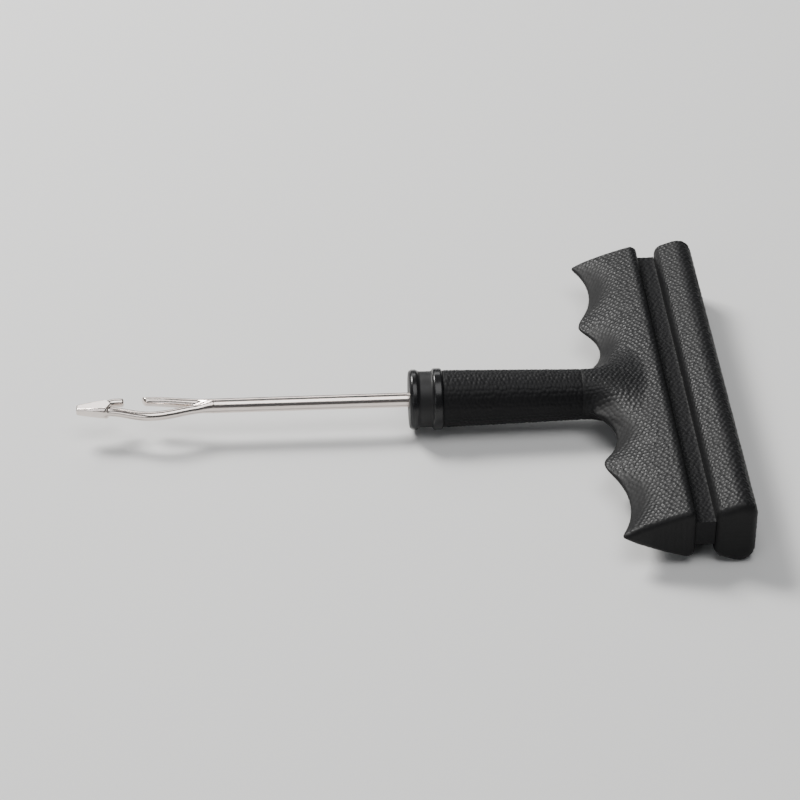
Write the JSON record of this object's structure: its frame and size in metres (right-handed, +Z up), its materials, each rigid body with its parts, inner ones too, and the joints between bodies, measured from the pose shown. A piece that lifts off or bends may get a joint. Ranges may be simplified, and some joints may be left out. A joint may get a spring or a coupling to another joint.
{
  "type": "tyre plug insertion tool",
  "caption": "T-handled tyre plug insertion tool: an open-eyed steel needle clamped in a collared neck, with a grained cross grip that has finger grooves and a palm bead.",
  "frame": {"origin": "on the needle's axis, at the middle of the tool's box; half-way between the needle's tip and the palm side of the grip", "axes": "+X from the needle's tip towards the palm, +Y along the cross grip, +Z up out of the plane of the T"},
  "size_m": [0.14, 0.102, 0.0148],
  "materials": {
    "core_plastic": "stiff black moulding with a fine, shallow pebble grain on the neck",
    "grip_rubber": "firm black elastomer with a coarse pebbled grain and a soft sheen",
    "collar_plastic": "smooth satin black",
    "socket_steel": "turned steel",
    "zinc_steel": "bright zinc plate",
    "black_steel": "black oxide",
    "plated_steel": "bright nickel plate with fine drawn lines and a ground point"
  },
  "bodies": {
    "handle": {"handle_core": "core_plastic", "finger_grip": "grip_rubber", "palm_pad": "grip_rubber", "neck_collar": "collar_plastic", "needle_socket": "socket_steel", "socket_washer": "zinc_steel", "socket_nut": "zinc_steel"},
    "set_screw": {"set_screw": "black_steel"},
    "needle": {"needle": "plated_steel"}
  },
  "joints": [
    {"name": "needle_withdraw", "type": "slide", "parent": "handle", "child": "needle", "axis": [-1, 0, 0], "range_m": [0, 0.027]},
    {"name": "set_screw_back_out", "type": "slide", "parent": "handle", "child": "set_screw", "axis": [0, 0, -1], "range_m": [0, 0.0015]}
  ]
}
